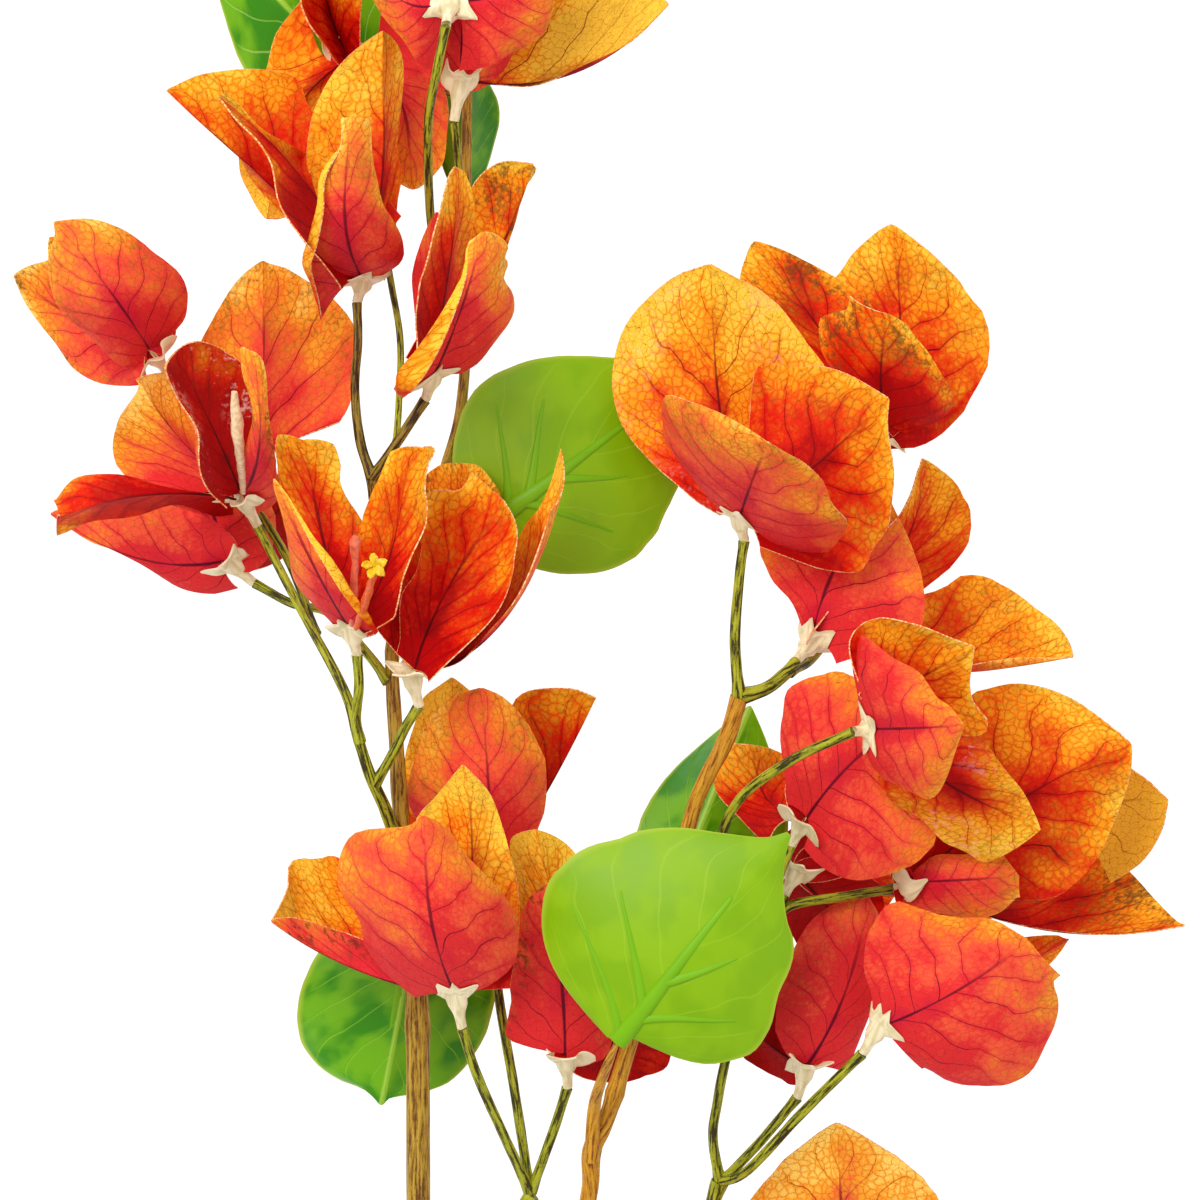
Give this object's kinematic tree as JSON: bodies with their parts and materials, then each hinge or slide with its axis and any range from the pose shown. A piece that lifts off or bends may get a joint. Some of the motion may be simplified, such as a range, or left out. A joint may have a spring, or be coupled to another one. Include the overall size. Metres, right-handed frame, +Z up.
{
  "type": "artificial bougainvillea spray",
  "caption": "Artificial bougainvillea branch lying down: a brown plastic stem with forking olive twigs, clusters of orange and red cloth bracts in cream cups, and glossy green leaves.",
  "frame": {"origin": "under the middle of the whole spray, at the height of its lowest point, with the spray lying on its back", "axes": "+Y from the cut end of the main stem towards the top blooms, +X to the right, +Z up"},
  "size_m": [0.2624, 0.3868, 0.09],
  "materials": {
    "bract_cloth": "printed woven polyester, pink-red at the base and golden at the edge, matte with a slight sheen",
    "leaf_plastic": "moulded leaves with raised ribs, glossy",
    "brown_stem": "moulded bark relief with darker paint in its hollows",
    "green_twig": "olive plastic with dark brown painted streaks"
  },
  "bodies": {
    "root": {"main_stem": "brown_stem", "left_stem": "green_twig", "twig_far_left": "green_twig", "twig_left_low": "green_twig", "twig_centre_left": "green_twig", "twig_centre_right": "green_twig", "upper_stem": "green_twig", "twig_upper_left": "green_twig", "twig_upper_middle": "green_twig", "twig_top_front": "green_twig", "twig_top_left": "green_twig", "twig_top_right": "green_twig", "middle_stem": "brown_stem", "twig_large": "green_twig", "twig_right_upper": "green_twig", "twig_upper_right": "green_twig", "right_stem": "green_twig", "riser_stem": "green_twig", "twig_far_right": "green_twig", "twig_right_inner": "green_twig", "twig_right_front": "green_twig", "twig_right_low": "green_twig", "twig_low_right": "green_twig", "twig_bottom_right": "green_twig", "low_stem": "green_twig", "twig_low_left": "green_twig", "twig_centre_low": "green_twig", "twig_low_middle": "green_twig", "leaf_top": "leaf_plastic", "leaf_small": "leaf_plastic", "leaf_middle": "leaf_plastic", "leaf_front": "leaf_plastic", "leaf_back": "leaf_plastic", "leaf_low": "leaf_plastic", "bloom_top_left": "bract_cloth", "bloom_top_right": "bract_cloth", "bloom_top_front": "bract_cloth", "bloom_upper_left": "bract_cloth", "bloom_upper_middle": "bract_cloth", "bloom_far_left": "bract_cloth", "bloom_left_front": "bract_cloth", "bloom_left_low": "bract_cloth", "bloom_centre_left": "bract_cloth", "bloom_centre_right": "bract_cloth", "bloom_centre_low": "bract_cloth", "bloom_low_left": "bract_cloth", "bloom_low_middle": "bract_cloth", "bloom_large": "bract_cloth", "bloom_upper_right": "bract_cloth", "bloom_right_upper": "bract_cloth", "bloom_right_front": "bract_cloth", "bloom_right_inner": "bract_cloth", "bloom_right_small": "bract_cloth", "bloom_far_right": "bract_cloth", "bloom_right_low": "bract_cloth", "bloom_low_right": "bract_cloth", "bloom_bottom_right": "bract_cloth"}
  },
  "joints": []
}
